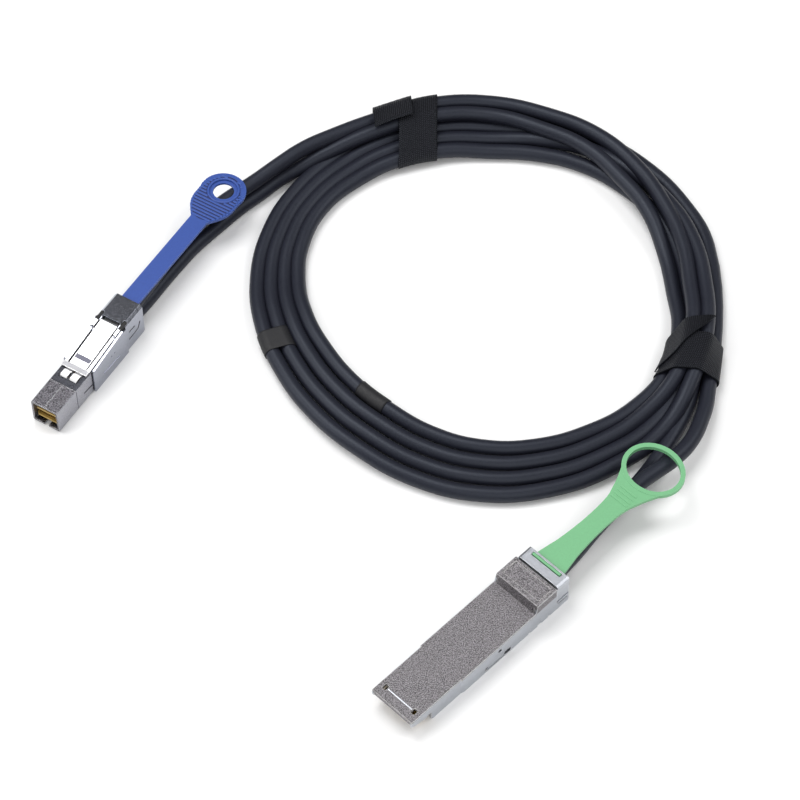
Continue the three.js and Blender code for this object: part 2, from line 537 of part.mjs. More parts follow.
function lift(degrees) {
  const rises = Object.values(TIES).map(({ angle }) => {
    const away = Math.abs(((degrees - angle + 540) % 360) - 180);
    return TIE_LIFT * THREE.MathUtils.smoothstep(22 - away, 0, 13);
  });
  return Math.max(...rises);
}

function coil(grow) {
  const corners = [[1, -1, 270], [1, -1, 315], [1, -1, 360], [1, 1, 0], [1, 1, 45], [1, 1, 90],
    [-1, 1, 90], [-1, 1, 135], [-1, 1, 180], [-1, -1, 180], [-1, -1, 225], [-1, -1, 270]];
  const loop = [...corners, corners[0]];
  const profile = loop.map(([u, v, a]) => {
    const t = THREE.MathUtils.degToRad(a);
    return new THREE.Vector2(70 + 9 * u + 2 * Math.cos(t), 5 + 2 * v + 2 * Math.sin(t));
  });
  const ring = new THREE.LatheGeometry(profile, COIL_STEPS);
  const radius = 2.4 + grow;
  for (let i = 0; i <= COIL_STEPS; i += 1) {
    const degrees = (360 * (i % COIL_STEPS)) / COIL_STEPS - 90;
    const turn = THREE.MathUtils.degToRad(degrees);
    const inner = around(COIL_INNER, degrees) - CABLE_R - grow;
    const outer = around(COIL_OUTER, degrees) + CABLE_R + grow;
    const low = lift(degrees) - grow;
    const high = around(COIL_TOP, degrees) + lift(degrees) * 0.5 + grow;
    loop.forEach(([u, v, a], j) => {
      const t = THREE.MathUtils.degToRad(a);
      const r = (inner + outer) / 2 + u * ((outer - inner) / 2 - radius) + radius * Math.cos(t);
      const z = (low + high) / 2 + v * ((high - low) / 2 - radius) + radius * Math.sin(t);
      ring.attributes.position.setXYZ(i * loop.length + j, COIL_AT[0] + r * Math.cos(turn),
        COIL_AT[1] + r * Math.sin(turn), z);
    });
  }
  return solid(ring);
}

// A tie hugging the bundle over a short length.
function tie({ angle, width, thick }) {
  const window = block(40, 120, -width / 2, width / 2, -5, 20).rotate([0, 0, angle])
    .translate([COIL_AT[0], COIL_AT[1], 0]);
  return cut(coil(GAP + thick).intersect(window), coil(GAP));
}

// A free stretch of cable, cut off where it meets the coil.
function lead(points, at, yaw) {
  const path = new THREE.CatmullRomCurve3(points.map((p) => new THREE.Vector3(...p)), false, 'centripetal');
  const tube = new THREE.ExtrudeGeometry(oval(0, 0, CABLE_R, CABLE_R, 10), {
    steps: Math.round(path.getLength() / (2.3 * CABLE_D)),
    extrudePath: path,
    bevelEnabled: false,
  });
  const place = new THREE.Matrix4().makeRotationZ(THREE.MathUtils.degToRad(yaw)).setPosition(...at, 0);
  const back = place.clone().invert();
  const ring = geometryOf(coil(GAP));
  ring.applyMatrix4(back);
  return cut(solid(tube), solid(ring));
}

const group = new THREE.Group();
group.name = 'plug_cable';

const qsfp = new THREE.Group();
qsfp.name = 'qsfp_plug';
qsfp.position.set(...QSFP_AT, 0);
qsfp.rotation.z = THREE.MathUtils.degToRad(QSFP_YAW);
qsfp.add(
  piece('qsfp_base_shell', qsfpBaseShell(), 'rim'),
  piece('qsfp_cover_shell', qsfpCoverShell(), 'cast'),
  piece('qsfp_paddle_card', qsfpPaddleCard(), 'laminate'),
  piece('qsfp_latch_slider', qsfpLatchSlider(), 'rim'),
  piece('qsfp_spring_left', qsfpSpring(1), 'wire'),
  piece('qsfp_spring_right', qsfpSpring(-1), 'wire'),
  piece('qsfp_pull_tab', qsfpPullTab(), 'green'),
  piece('qsfp_ferrule_upper', ferrule(Q_HEAD_BACK, Q_REAR, Q_LEADS.upper), 'ferrule'),
  piece('qsfp_ferrule_lower', ferrule(Q_HEAD_BACK, Q_REAR, Q_LEADS.lower), 'ferrule'),
  piece('qsfp_wire_block', across(46.3, 50.6, 6.4, 1.6, 6.9), 'resin'),
  piece('qsfp_screw_left', qsfpScrew(1), 'wire'),
  piece('qsfp_screw_right', qsfpScrew(-1), 'wire'),
  piece('qsfp_lead_upper', lead(LEADS.qsfp_lead_upper, QSFP_AT, QSFP_YAW), 'jacket'),
  piece('qsfp_lead_lower', lead(LEADS.qsfp_lead_lower, QSFP_AT, QSFP_YAW), 'jacket'),
);

const sas = new THREE.Group();
sas.name = 'sas_plug';
sas.position.set(...SAS_AT, 0);
sas.rotation.z = THREE.MathUtils.degToRad(SAS_YAW);
const latchSpring = spring(S_SPRING.radius, S_SPRING.wire, S_SPRING.z[1] - S_SPRING.z[0], S_SPRING.turns);
latchSpring.translate(S_SPRING.x, 0, S_SPRING.z[0]);
sas.add(
  piece('sas_nose_shell', sasNoseShell(), 'nose'),
  piece('sas_body_base', sasBodyBase(), 'mirror'),
  piece('sas_rear_shell', sasRearShell(), 'mirror'),
  piece('sas_latch_cover', sasLatchCover(), 'steel'),
  piece('sas_latch_plate', sasLatchPlate(), 'steel'),
  piece('sas_latch_pin', rod('y', S_PIN.x, S_PIN.z, S_PIN.radius, -5, 5, 32), 'wire'),
  piece('sas_latch_spring', latchSpring, 'wire'),
  piece('sas_pull_tab', sasPullTab(), 'blue'),
  piece('sas_card_upper', sasCard(S_CARDS.upper), 'laminate'),
  piece('sas_card_lower', sasCard(S_CARDS.lower), 'laminate'),
  piece('sas_card_spacer', across(26, 33, 4.2, S_CARDS.lower + S_CARDS.thick + GAP, S_CARDS.upper - GAP), 'resin'),
  piece('sas_wire_block', across(36.3, 40, 4.0, 2.2, 7.4), 'resin'),
  piece('sas_ferrule_upper', ferrule(S_REAR_X[1] - 2, S_REAR_X[1], S_LEADS.upper), 'ferrule'),
  piece('sas_ferrule_lower', ferrule(S_REAR_X[1] - 2, S_REAR_X[1], S_LEADS.lower), 'ferrule'),
  piece('sas_lead_upper', lead(LEADS.sas_lead_upper, SAS_AT, SAS_YAW), 'jacket'),
  piece('sas_lead_lower', lead(LEADS.sas_lead_lower, SAS_AT, SAS_YAW), 'jacket'),
);

group.add(qsfp, sas, piece('cable_coil', coil(0), 'jacket'));
Object.entries(TIES).forEach(([name, spec]) => group.add(piece(name, tie(spec), 'cloth')));

export default group;
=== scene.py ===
import math
import bmesh
import bpy
from mathutils import Matrix, Vector


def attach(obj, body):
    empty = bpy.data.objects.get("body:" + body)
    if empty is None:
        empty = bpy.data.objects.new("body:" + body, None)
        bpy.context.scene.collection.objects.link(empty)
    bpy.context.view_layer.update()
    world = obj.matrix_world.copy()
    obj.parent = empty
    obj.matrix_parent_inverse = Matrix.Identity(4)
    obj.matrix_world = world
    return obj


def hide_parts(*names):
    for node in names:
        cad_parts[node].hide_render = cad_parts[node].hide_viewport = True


MM = 0.001
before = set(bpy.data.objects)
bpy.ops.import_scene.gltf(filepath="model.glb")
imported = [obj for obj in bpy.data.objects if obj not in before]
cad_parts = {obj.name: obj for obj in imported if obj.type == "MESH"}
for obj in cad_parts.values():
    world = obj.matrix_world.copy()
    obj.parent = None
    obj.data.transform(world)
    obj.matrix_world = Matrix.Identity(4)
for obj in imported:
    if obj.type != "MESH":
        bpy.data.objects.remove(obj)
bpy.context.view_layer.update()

# Where each plug lies, as in the construction: x and y in millimetres, and the yaw in degrees.
QSFP = (12.78, -105.06, 45.6)
SAS = (-104.72, 8.64, 59.07)
CABLE_D = 5.5
CABLE_R = CABLE_D / 2

# Points nearer than this, in metres, are welded.
WELD = 0.00001

# The camera fitted to the photograph: its place and target in millimetres, its roll in radians.
EYE = Vector((15.02, -554.32, 788.5)) * MM
TARGET = Vector((15.02, 20.08, 0)) * MM
ROLL = 0.004
LENS = 128.5
SENSOR = 36

# The coil: radii of the innermost and outermost strand every thirty degrees, anticlockwise from the right.
COIL_AT = (45.02, 67.88)
COIL_INNER = (65.4, 65.3, 63.2, 62.1, 65.0, 68.1, 65.9, 63.0, 64.6, 69.6, 71.6, 72.4)
COIL_OUTER = (81.3, 80.4, 79.6, 79.2, 79.4, 80.3, 80.25, 80.2, 83.5, 88.5, 87.4, 84.6)
COIL_STRANDS = 4

# The strands rise by this much under each tie and band, within a few degrees of it.
TIE_ANGLES = (109, -23, -161, -129)
TIE_LIFT = 1.25
LIFT_ENDS = 22
LIFT_SLOPE = 13


def place(plug):
    x, y, yaw = plug
    return Matrix.Translation((x * MM, y * MM, 0)) @ Matrix.Rotation(math.radians(yaw), 4, "Z")


def at(plug, x, y, z):
    return place(plug) @ Vector((x * MM, y * MM, z * MM))


def link(obj):
    bpy.context.scene.collection.objects.link(obj)
    return obj


# The mesh of an object after its modifiers and its bevel.
def evaluated(obj):
    return bpy.data.meshes.new_from_object(obj.evaluated_get(bpy.context.evaluated_depsgraph_get()))


def make_camera():
    forward = (TARGET - EYE).normalized()
    level = Vector((1, 0, 0))
    upright = level.cross(forward)
    right = level * math.cos(ROLL) + upright * math.sin(ROLL)
    up = upright * math.cos(ROLL) - level * math.sin(ROLL)
    data = bpy.data.cameras.new("camera")
    data.lens = LENS
    data.sensor_width = SENSOR
    data.clip_start = 0.05
    data.clip_end = 10
    camera = link(bpy.data.objects.new("camera", data))
    basis = Matrix((right, up, -forward)).transposed().to_4x4()
    camera.matrix_world = Matrix.Translation(EYE) @ basis
    bpy.context.scene.camera = camera


make_camera()


# The two cables, laid from the tall plug round the coil to the wide plug. Near a plug the points are in its frame.
SAS_LOWER = (
    (49.4, 0, 3.4), (53.6, 0, 3.3), (60.5, -0.1, 2.9), (70, 0, 2.8), (80, -0.2, 2.8), (88, -0.6, 2.8),
    (96.3, -1.8, 2.8), (104, -3.2, 2.8), (112, -4.7, 2.8), (121.8, -7.4, 2.8), (131, -10.0, 3.2),
    (139, -13.6, 3.9), (147, -18.0, 5.4),
)
SAS_UPPER = (
    (49.4, 0, 8.9), (60.5, 0.3, 8.65), (70, 1.0, 8.3), (80, 1.6, 8.0), (90, 1.7, 7.9), (100, 0.8, 7.9),
    (109, -1.1, 7.85), (117, -3.6, 7.85), (124, -5.9, 8.05), (131.3, -8.3, 8.7), (143.7, -12.6, 9.2),
    (154.3, -18.3, 9.2),
)
QSFP_LOWER = (
    (160, 15.2, 2.75), (152, 11.5, 2.75), (144, 8.8, 2.8), (135.4, 6.5, 2.9), (128, 5.0, 2.9), (119.9, 3.8, 2.9),
    (111, 3.3, 2.85), (103, 3.2, 2.85), (95, 3.1, 2.85), (87, 2.9, 2.95), (79, 2.7, 3.1), (71.4, 2.5, 3.4),
)
QSFP_UPPER = (
    (163, 10.3, 4.2), (155, 5.7, 5.1), (143.4, 1.2, 6.5), (133.4, 0.2, 7.6), (126, 0.9, 7.9), (118.6, 1.6, 8.0),
    (107.5, 1.0, 7.9), (94.1, -0.1, 7.4), (82.9, -1.5, 6.9), (76.3, -2.0, 6.5), (71.4, -2.5, 6.2),
)

# Keys of the lay: degrees turned clockwise from the start, lane from the inside, height of the centre.
LAY_INNER = (
    (0, 2.5, 7.5), (25, 2.4, 7.5), (60, 1.2, 8.2), (85, 0.1, 7.0), (110, 0, 2.75), (360, 0, 2.75), (385, 0, 2.75),
    (430, 0.6, 2.75), (478, 1, 2.75), (500, 1.1, 2.75), (530, 2, 2.75), (720, 2, 2.75), (842, 2.0, 2.75),
)
LAY_OUTER = (
    (0, 3.5, 7.4), (25, 3.45, 7.4), (60, 2.6, 8.2), (90, 1.3, 8.25), (118, 1, 8.25), (140, 1, 8.0), (165, 1, 4.5),
    (185, 1, 2.75), (385, 1, 2.75), (430, 1.7, 5.5), (478, 2, 8.25), (500, 2.1, 8.0), (530, 3, 3.6),
    (545, 3, 2.75), (838, 3, 2.75),
)
LAY_FROM = 118
LAY_STEP = 15


def ease(t):
    return t * t * (3 - 2 * t)


# Radius at an angle: a smooth closed curve through the table's radii.
def around(table, degrees):
    count = len(table)
    where = (degrees * count / 360) % count
    i = int(where)
    t = where - i
    a, b, c, d = (table[(i + k) % count] for k in (-1, 0, 1, 2))
    square = 2 * a - 5 * b + 4 * c - d
    cube = 3 * b - a - 3 * c + d
    return 0.5 * (2 * b + (c - a) * t + square * t * t + cube * t * t * t)


def lift(degrees):
    rises = []
    for angle in TIE_ANGLES:
        away = abs((degrees - angle + 540) % 360 - 180)
        rises.append(TIE_LIFT * ease(min(max((LIFT_ENDS - away) / LIFT_SLOPE, 0), 1)))
    return max(rises)


# Lane and height between two keys of the lay.
def keyed(keys, turned):
    for (start, lane0, z0), (end, lane1, z1) in zip(keys, keys[1:]):
        if turned <= end:
            t = ease((turned - start) / (end - start))
            return lane0 + (lane1 - lane0) * t, z0 + (z1 - z0) * t
    return keys[-1][1:]


# A place on the coil by angle and radius, and the direction that points outward there.
def polar(degrees, radius):
    a = math.radians(degrees)
    return (COIL_AT[0] + radius * math.cos(a), COIL_AT[1] + radius * math.sin(a)), (math.cos(a), math.sin(a))


def lay(keys):
    points = []
    turned = 0
    while turned <= keys[-1][0]:
        degrees = LAY_FROM - turned
        lane, height = keyed(keys, turned)
        inner = around(COIL_INNER, degrees)
        pitch = (around(COIL_OUTER, degrees) - inner) / (COIL_STRANDS - 1)
        (x, y), _ = polar(degrees, inner + lane * pitch)
        points.append(Vector((x, y, height + lift(degrees))) * MM)
        turned += LAY_STEP
    return points


def mesh_object(name, bm, smooth=True):
    bmesh.ops.recalc_face_normals(bm, faces=bm.faces[:])
    data = bpy.data.meshes.new(name)
    bm.to_mesh(data)
    bm.free()
    for face in data.polygons:
        face.use_smooth = smooth
    return link(bpy.data.objects.new(name, data))


# A cord as one tube from plug to plug, and the points of its centre line.
def cable(name, start, keys, end):
    points = [at(SAS, *p) for p in start] + lay(keys) + [at(QSFP, *p) for p in end]
    data = bpy.data.curves.new(name, "CURVE")
    data.dimensions = "3D"
    data.resolution_u = 8
    data.use_fill_caps = True
    spline = data.splines.new("BEZIER")
    spline.bezier_points.add(len(points) - 1)
    for knot, p in zip(spline.bezier_points, points):
        knot.co = p
        knot.handle_left_type = "AUTO"
        knot.handle_right_type = "AUTO"
    route = link(bpy.data.objects.new(name + "_route", data))
    path = [v.co.copy() for v in evaluated(route).vertices]
    data.bevel_depth = CABLE_R * MM
    data.bevel_resolution = 6
    bpy.context.view_layer.update()
    tube = bmesh.new()
    tube.from_mesh(evaluated(route))
    bmesh.ops.remove_doubles(tube, verts=tube.verts[:], dist=WELD)
    bpy.data.objects.remove(route)
    cord = mesh_object(name, tube)
    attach(cord, "cable")
    return cord, path


cable_a, path_a = cable("cable_inner", SAS_LOWER, LAY_INNER, QSFP_LOWER)
cable_b, path_b = cable("cable_outer", SAS_UPPER, LAY_OUTER, QSFP_UPPER)
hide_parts("cable_coil", "sas_lead_lower", "qsfp_lead_lower")
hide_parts("cable_coil", "sas_lead_upper", "qsfp_lead_upper")


# Ties and bands. Each is wrapped round the strands that cross a row of upright planes, a strap's width long.
LOOP_POINTS = 96
LOOPS_PER_MM = 3
STRAND_REACH = 22
FLOOR_GAP = 0.02


class Wrap:
    def __init__(self, middle, outward, pick=(None, None)):
        self.middle = Vector(middle)
        self.out = Vector(outward).normalized()
        self.along = Vector((-self.out.y, self.out.x))
        self.pick = slice(*pick)
        self.loops = {}

    # Distance outward and height of each strand where it crosses the plane at this offset.
    def strands(self, offset):
        found = []
        for path in (path_a, path_b):
            flat = [(p.xy / MM - self.middle, p.z / MM) for p in path]
            for (p, z0), (q, z1) in zip(flat, flat[1:]):
                s0, s1 = p.dot(self.along) - offset, q.dot(self.along) - offset
                if s0 * s1 > 0 or abs(p.dot(self.out)) > STRAND_REACH:
                    continue
                t = s0 / (s0 - s1)
                found.append((p.lerp(q, t).dot(self.out), z0 + (z1 - z0) * t))
        return sorted(found)[self.pick]

    # The tight loop round those strands, this far from the jackets.
    def loop(self, offset, grow):
        key = (round(offset * LOOPS_PER_MM), grow)
        if key not in self.loops:
            strands = self.strands(key[0] / LOOPS_PER_MM)
            reach = CABLE_R + grow
            points = []
            for k in range(LOOP_POINTS):
                a = math.tau * k / LOOP_POINTS
                r, z = max(strands, key=lambda c: c[0] * math.cos(a) + c[1] * math.sin(a))
                points.append(Vector((r + reach * math.cos(a), max(z + reach * math.sin(a), FLOOR_GAP))))
            self.loops[key] = points
        return self.loops[key]

    # A point of the loop, by its share of the way round if closed and else by its distance along.
    def point(self, offset, where, grow, closed):
        points = self.loop(offset, grow)
        steps = [(b - a).length for a, b in zip(points, points[1:] + points[:1])]
        distance = (where * sum(steps) if closed else where) % sum(steps)
        for k, step in enumerate(steps):
            if distance <= step:
                return points[k].lerp(points[(k + 1) % LOOP_POINTS], distance / max(step, 1e-9))
            distance -= step
        return points[0]


# A strap round the whole wrap, or over the span of it that is given in millimetres. It can be set off its plane,
# skewed, tapered towards its end, and lifted off there.
def strip(name, wrap, width, thick, grow, span=None, shift=0.0, skew=0.0, rise=0.0, taper=0.0):
    closed = span is None
    first, last = (0, 1) if closed else span
    bm = bmesh.new()
    bmesh.ops.create_grid(bm, x_segments=LOOP_POINTS if closed else 40, y_segments=18, size=0.5)
    uv = bm.loops.layers.uv.new("UVMap")
    loop = wrap.loop(0, grow)
    around_it = sum((b - a).length for a, b in zip(loop, loop[1:]))
    for face in bm.faces:
        for corner in face.loops:
            u, v = corner.vert.co.x + 0.5, corner.vert.co.y + 0.5
            corner[uv].uv = ((last - first) * u * (around_it if closed else 1), v * width)
    for vert in bm.verts:
        u, v = vert.co.x + 0.5, vert.co.y
        narrow = 1 - taper * max(0, (u - 0.4) / 0.6)
        offset = shift + v * width * narrow + skew * u
        r, z = wrap.point(offset, first + (last - first) * u, grow, closed)
        flat = wrap.middle + wrap.out * r + wrap.along * offset
        vert.co = Vector((flat.x, flat.y, z + rise * u * u)) * MM
    if closed:
        bmesh.ops.remove_doubles(bm, verts=bm.verts[:], dist=WELD)
    bmesh.ops.recalc_face_normals(bm, faces=bm.faces[:])
    bmesh.ops.solidify(bm, geom=bm.faces[:] + bm.edges[:] + bm.verts[:], thickness=thick * MM)
    piece = mesh_object(name, bm)
    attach(piece, "cable")
    return piece


top = Wrap((21.2, 138), (0, 1))
right = Wrap((115.3, 33.2), (1, -0.12))
tie_top = strip("top_tie", top, 13.8, 0.5, 0.75)
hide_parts("tie_top")
top_end = Wrap((12.2, 139.5), (-0.08, 1))
tie_top_end = strip("top_tie_end", top_end, 14.2, 0.5, 1.5, span=(-5, 13.5), rise=0.5)
tie_right = strip("right_tie", right, 15.2, 0.5, 0.75)
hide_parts("tie_right")
tie_right_end = strip("right_tie_end", right, 12.5, 0.5, 1.5, span=(31, 10.5), shift=0.5, skew=14, taper=0.97,
                      rise=0.5)
band_left = strip("left_band", Wrap(*polar(-160, 76), pick=(2, None)), 8.6, 0.25, 0.3)
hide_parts("band_left")
band_inner = strip("inner_band", Wrap(*polar(-128, 68), pick=(None, 1)), 12, 0.25, 0.3)
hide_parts("band_inner")
TIES = (tie_top, tie_top_end, tie_right, tie_right_end)
BANDS = (band_left, band_inner)


# Plates and blocks laid in a plug's own frame, in millimetres. A prism is an outline drawn along an axis.
def prism(bm, points, axis, low, high):
    first, second, drawn = {"x": (1, 2, 0), "y": (0, 2, 1), "z": (0, 1, 2)}[axis]
    verts = []
    for a, b in points:
        co = [0, 0, 0]
        co[first], co[second], co[drawn] = a, b, low
        verts.append(bm.verts.new(co))
    face = bm.faces.new(verts)
    grown = bmesh.ops.extrude_face_region(bm, geom=[face])["geom"]
    step = [0, 0, 0]
    step[drawn] = high - low
    bmesh.ops.translate(bm, verts=[g for g in grown if isinstance(g, bmesh.types.BMVert)], vec=step)


def box(bm, x0, x1, y0, y1, z0, z1):
    prism(bm, [(x0, y0), (x1, y0), (x1, y1), (x0, y1)], "z", z0, z1)


# Corners of a circle, or of an oval with a second radius.
def circle(x, y, radius, count, other=None):
    turns = [math.tau * k / count for k in range(count)]
    return [(x + radius * math.cos(a), y + (other or radius) * math.sin(a)) for a in turns]


# One solid less another.
def less(bm, cutter_bm):
    blank = mesh_object("blank", bm)
    cutter = mesh_object("cutter", cutter_bm)
    modifier = blank.modifiers.new("cut", "BOOLEAN")
    modifier.object = cutter
    modifier.operation = "DIFFERENCE"
    result = bmesh.new()
    result.from_mesh(evaluated(blank))
    bpy.data.objects.remove(blank)
    bpy.data.objects.remove(cutter)
    return result


# Edges that turn by more than this, in radians, are rounded.
SHARP = 0.4


def finish_part(name, bm, plug, rounding, body, finish, replaces=(), segments=2):
    bmesh.ops.recalc_face_normals(bm, faces=bm.faces[:])
    if rounding:
        sharp = [e for e in bm.edges if e.calc_face_angle(0) > SHARP]
        bmesh.ops.bevel(bm, geom=sharp, offset=rounding, segments=segments, profile=0.5, affect="EDGES",
                        material=-1, clamp_overlap=True)
    bm.transform(place(plug) @ Matrix.Scale(MM, 4))
    piece = mesh_object(name, bm, smooth=False)
    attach(piece, body)
    if replaces:
        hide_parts(*replaces)
    piece.data.materials.append(finish)
    return piece


# Finishes. Every one is a shader with its own grain, laid out in object coordinates.
EDGE_SAMPLES = 4
EDGE_RADIUS = 0.00012


def material(name, color, rough, metal=0.0):
    m = bpy.data.materials.new(name)
    m.use_nodes = True
    nodes = m.node_tree.nodes
    shader = nodes["Principled BSDF"]
    shader.inputs["Base Color"].default_value = (*color, 1)
    shader.inputs["Roughness"].default_value = rough
    shader.inputs["Metallic"].default_value = metal
    return m, nodes, m.node_tree.links, shader


def noise(nodes, links, scale):
    where = nodes.new("ShaderNodeTexCoord")
    tex = nodes.new("ShaderNodeTexNoise")
    tex.inputs["Scale"].default_value = scale
    tex.inputs["Detail"].default_value = 4.0
    tex.inputs["Roughness"].default_value = 0.6
    links.new(where.outputs["Object"], tex.inputs["Vector"])
    return tex.outputs["Fac"]


# Two colors, each at its position along a value.
def ramp(nodes, links, value, stops):
    node = nodes.new("ShaderNodeValToRGB")
    for element, (position, color) in zip(node.color_ramp.elements, stops):
        element.position = position
        element.color = (*color, 1)
    links.new(value, node.inputs["Fac"])
    return node.outputs["Color"]


def rough_from(nodes, links, value, low, high, shader):
    spread = nodes.new("ShaderNodeMapRange")
    spread.inputs["From Min"].default_value = 0.3
    spread.inputs["From Max"].default_value = 0.7
    spread.inputs["To Min"].default_value = low
    spread.inputs["To Max"].default_value = high
    links.new(value, spread.inputs["Value"])
    links.new(spread.outputs["Result"], shader.inputs["Roughness"])


# The normal that a bevel of this radius would give.
def soft_normal(nodes, radius):
    soft = nodes.new("ShaderNodeBevel")
    soft.samples = EDGE_SAMPLES
    soft.inputs["Radius"].default_value = radius
    return soft.outputs["Normal"]


def edge_and_bump(nodes, links, shader, height, strength, depth, radius):
    bump = nodes.new("ShaderNodeBump")
    bump.inputs["Strength"].default_value = strength
    bump.inputs["Distance"].default_value = depth
    links.new(height, bump.inputs["Height"])
    if radius:
        links.new(soft_normal(nodes, radius), bump.inputs["Normal"])
    links.new(bump.outputs["Normal"], shader.inputs["Normal"])


# Where the rounded normal leaves the true one there is an edge: it is painted bright, a painted highlight along
# the rim that also stands for edge wear.
def edge_mask(nodes, links, radius):
    geometry = nodes.new("ShaderNodeNewGeometry")
    dot = nodes.new("ShaderNodeVectorMath")
    dot.operation = "DOT_PRODUCT"
    links.new(soft_normal(nodes, radius), dot.inputs[0])
    links.new(geometry.outputs["True Normal"], dot.inputs[1])
    spread = nodes.new("ShaderNodeMapRange")
    spread.inputs["From Min"].default_value = 0.99
    spread.inputs["From Max"].default_value = 0.9
    links.new(dot.outputs["Value"], spread.inputs["Value"])
    return spread.outputs["Result"]


def mixed(nodes, links, base, color, factor):
    mix = nodes.new("ShaderNodeMix")
    mix.data_type = "RGBA"
    mix.inputs["B"].default_value = (*color, 1)
    links.new(factor, mix.inputs["Factor"])
    links.new(base, mix.inputs["A"])
    return mix.outputs["Result"]


# A finish with noise in its color, roughness and height. Scale is the grain's, strength and depth its bump's,
# spread and tint what it does to roughness and color, edge_highlight_and_wear the painted highlight and edge wear
# color of edges, edge_reach how far in, in metres.
def grained(name, color, rough, metal, scale, strength, depth, spread=0.08, tint=0.15, radius=EDGE_RADIUS,
            edge_highlight_and_wear=None, edge_reach=0.0004, gloss=0.5):
    m, nodes, links, shader = material(name, color, rough, metal)
    shader.inputs["Specular IOR Level"].default_value = gloss
    grain = noise(nodes, links, scale)
    dark = tuple(c * (1 - tint) for c in color)
    light = tuple(min(1, c * (1 + tint)) for c in color)
    body = ramp(nodes, links, grain, [(0.36, dark), (0.64, light)])
    # Edges are mixed towards a lighter color: painted highlight, partly edge wear.
    if edge_highlight_and_wear:
        body = mixed(nodes, links, body, edge_highlight_and_wear, edge_mask(nodes, links, edge_reach))
    links.new(body, shader.inputs["Base Color"])
    rough_from(nodes, links, grain, rough - spread, rough + spread, shader)
    edge_and_bump(nodes, links, shader, grain, strength, depth, radius)
    return m


# Another color where a world vector, the normal or the place, reaches far enough along a direction.
def tone_where(m, source, direction, reach, color, both_ways=False):
    nodes, links = m.node_tree.nodes, m.node_tree.links
    shader = nodes["Principled BSDF"]
    geometry = nodes.new("ShaderNodeNewGeometry")
    dot = nodes.new("ShaderNodeVectorMath")
    dot.operation = "DOT_PRODUCT"
    dot.inputs[1].default_value = direction
    links.new(geometry.outputs[source], dot.inputs[0])
    value = dot.outputs["Value"]
    if both_ways:
        size = nodes.new("ShaderNodeMath")
        size.operation = "ABSOLUTE"
        links.new(value, size.inputs[0])
        value = size.outputs["Value"]
    past = nodes.new("ShaderNodeMath")
    past.operation = "GREATER_THAN"
    past.inputs[1].default_value = reach
    links.new(value, past.inputs[0])
    base = shader.inputs["Base Color"].links[0].from_socket
    links.new(mixed(nodes, links, base, color, past.outputs["Value"]), shader.inputs["Base Color"])


# The nose is dark behind its seam, and its flanks are painted paler than its grainy top: a painted highlight on
# the sides.
NOSE_SEAM = 11.25


def nose_tones(m, plug):
    x, y, yaw = plug
    turn = math.radians(yaw)
    along = (math.cos(turn), math.sin(turn), 0)
    across = (-math.sin(turn), math.cos(turn), 0)
    seam = (NOSE_SEAM + x * along[0] + y * along[1]) * MM
    tone_where(m, "Position", along, seam, (0.07, 0.072, 0.085))
    # Faces turned sideways get a paler color: painted highlight on the flanks.
    tone_where(m, "True Normal", across, 0.7, (0.4, 0.4, 0.44), both_ways=True)


BLUISH = (0.8, 0.88, 1, 1)
JACKET = grained("jacket", (0.0125, 0.0135, 0.0215), 0.46, 0.0, 1800, 0.25, 0.0001, radius=0, gloss=0.36)
JACKET.node_tree.nodes["Principled BSDF"].inputs["Specular Tint"].default_value = BLUISH
# The edge colors given below are painted highlights along the edges, partly edge wear.
DIE_CAST = grained("die_cast", (0.25, 0.238, 0.25), 0.46, 1.0, 2800, 1.0, 0.0003, 0.14, 0.8,
                   edge_highlight_and_wear=(0.8, 0.79, 0.77))
BRIGHT = grained("bright_shell", (0.5, 0.52, 0.56), 0.36, 1.0, 900, 0.04, 0.00003, 0.05, 0.05,
                 edge_highlight_and_wear=(0.9, 0.91, 0.93), edge_reach=0.0002)
STEEL = grained("steel", (0.86, 0.86, 0.87), 0.36, 1.0, 500, 0.02, 0.00002, 0.03, 0.02, edge_highlight_and_wear=(1, 1, 1))
# The rails' steel: a darker copy of the steel, painted shade.
STEEL_SHADED = grained("rail_steel_shaded", (0.42, 0.42, 0.44), 0.3, 1.0, 500, 0.02, 0.00002, 0.03, 0.02, edge_highlight_and_wear=(1, 1, 1))
MIRROR = grained("dark_mirror", (0.36, 0.375, 0.43), 0.13, 1.0, 1200, 0.02, 0.00002, 0.04, 0.06)
NOSE = grained("nose_metal", (0.145, 0.14, 0.155), 0.3, 1.0, 3300, 0.9, 0.0002, 0.1, 0.9,
               edge_highlight_and_wear=(0.75, 0.75, 0.77), edge_reach=0.0003)
nose_tones(NOSE, SAS)
LAMINATE = grained("laminate", (0.42, 0.28, 0.07), 0.4, 0.3, 700, 0.1, 0.00005)
WIRE = grained("spring_wire", (0.7, 0.71, 0.73), 0.3, 1.0, 900, 0.05, 0.00003)
GREEN = grained("green_tab", (0.163, 0.436, 0.212), 0.5, 0.0, 1500, 0.12, 0.00005, 0.05, 0.03,
                edge_highlight_and_wear=(0.22, 0.55, 0.28))
BLUE = grained("blue_tab", (0.025, 0.069, 0.31), 0.45, 0.0, 1500, 0.15, 0.00005, 0.05, 0.05,
               edge_highlight_and_wear=(0.05, 0.12, 0.43))
# Darker blue for the floor between the ribs: painted shade.
BLUE_GROOVE_SHADE = grained("blue_grooves", (0.006, 0.017, 0.1), 0.6, 0.0, 1500, 0.15, 0.00005, 0.05, 0.05)
BAND = grained("band", (0.006, 0.006, 0.008), 0.6, 0.0, 1600, 0.3, 0.0001)
FERRULE = grained("ferrule", (0.02, 0.02, 0.025), 0.6, 0.0, 900, 0.1, 0.00005)
GOLD = grained("contact_gold", (0.83, 0.58, 0.22), 0.25, 1.0, 900, 0.03, 0.00002, 0.04, 0.05)
SHADE = grained("crease", (0.06, 0.06, 0.075), 0.3, 1.0, 900, 0.02, 0.00002)
# Black resin of the wire blocks and spacer, also used as painted shade on the slit floors.
RESIN_AND_SHADE = grained("resin", (0.015, 0.015, 0.016), 0.7, 0.0, 900, 0.1, 0.00005)


